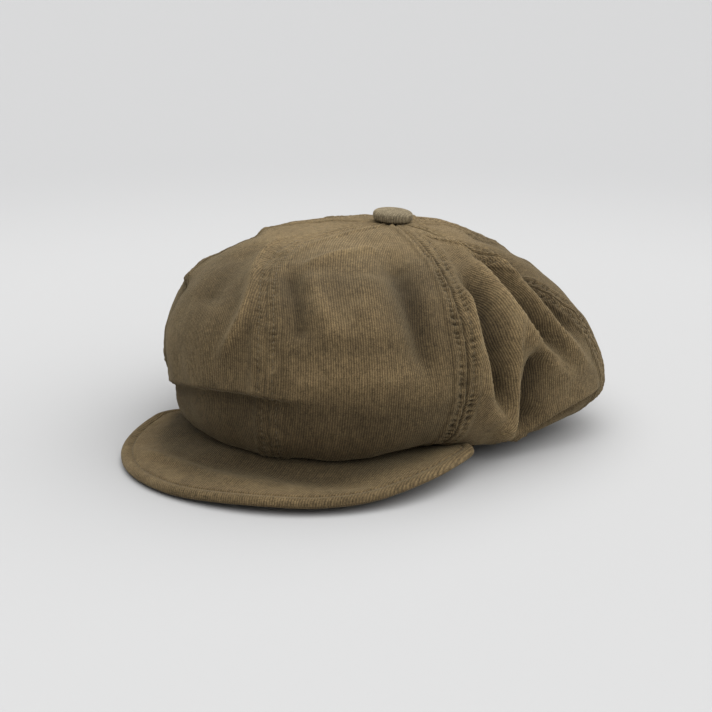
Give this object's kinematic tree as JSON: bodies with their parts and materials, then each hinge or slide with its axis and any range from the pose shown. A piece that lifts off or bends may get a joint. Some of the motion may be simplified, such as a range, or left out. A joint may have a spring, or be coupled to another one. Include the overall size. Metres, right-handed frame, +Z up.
{
  "type": "newsboy cap",
  "caption": "Soft corduroy newsboy cap with a full panelled crown gathered under a covered button, a narrow headband and a short stiff visor.",
  "frame": {"origin": "on the surface the cap lies on, under the middle of its outer box", "axes": "+Z up, -Y towards the tip of the visor, +X towards the wearer's left"},
  "size_m": [0.2534, 0.3034, 0.1283],
  "materials": {
    "corduroy": "fine-wale cotton corduroy, olive brown, matt with a soft nap",
    "lining_cotton": "plain woven cotton, dark brown, matt",
    "sweatband_tape": "ribbed cotton tape, near black brown",
    "buckram": "starched open-weave buckram",
    "label_satin": "blank woven satin label",
    "visor_board": "pressed polyethylene visor board",
    "button_metal": "stamped sheet, dull"
  },
  "bodies": {
    "cap": {"crown_front_left": "corduroy", "crown_side_left_front": "corduroy", "crown_side_left_rear": "corduroy", "crown_rear_left": "corduroy", "crown_rear_right": "corduroy", "crown_side_right_rear": "corduroy", "crown_side_right_front": "corduroy", "crown_front_right": "corduroy", "lining_front_left": "lining_cotton", "lining_side_left_front": "lining_cotton", "lining_side_left_rear": "lining_cotton", "lining_rear_left": "lining_cotton", "lining_rear_right": "lining_cotton", "lining_side_right_rear": "lining_cotton", "lining_side_right_front": "lining_cotton", "lining_front_right": "lining_cotton", "headband_outer": "corduroy", "headband_stiffener": "buckram", "sweatband": "sweatband_tape", "size_label": "label_satin", "button_cover": "corduroy", "button_shell": "button_metal", "button_back_plate": "button_metal", "button_tack": "button_metal", "button_washer": "button_metal"},
    "visor": {"visor_top_cover": "corduroy", "visor_board": "visor_board", "visor_under_cover": "corduroy", "visor_edge_roll": "corduroy"}
  },
  "joints": [
    {"name": "visor_flex", "type": "hinge", "parent": "cap", "child": "visor", "pos_m": [-0.01603, -0.06096, 0.011], "axis": [-1, 0, 0], "range_deg": [0, 8], "stiffness_Nm_per_rad": 0.6}
  ]
}
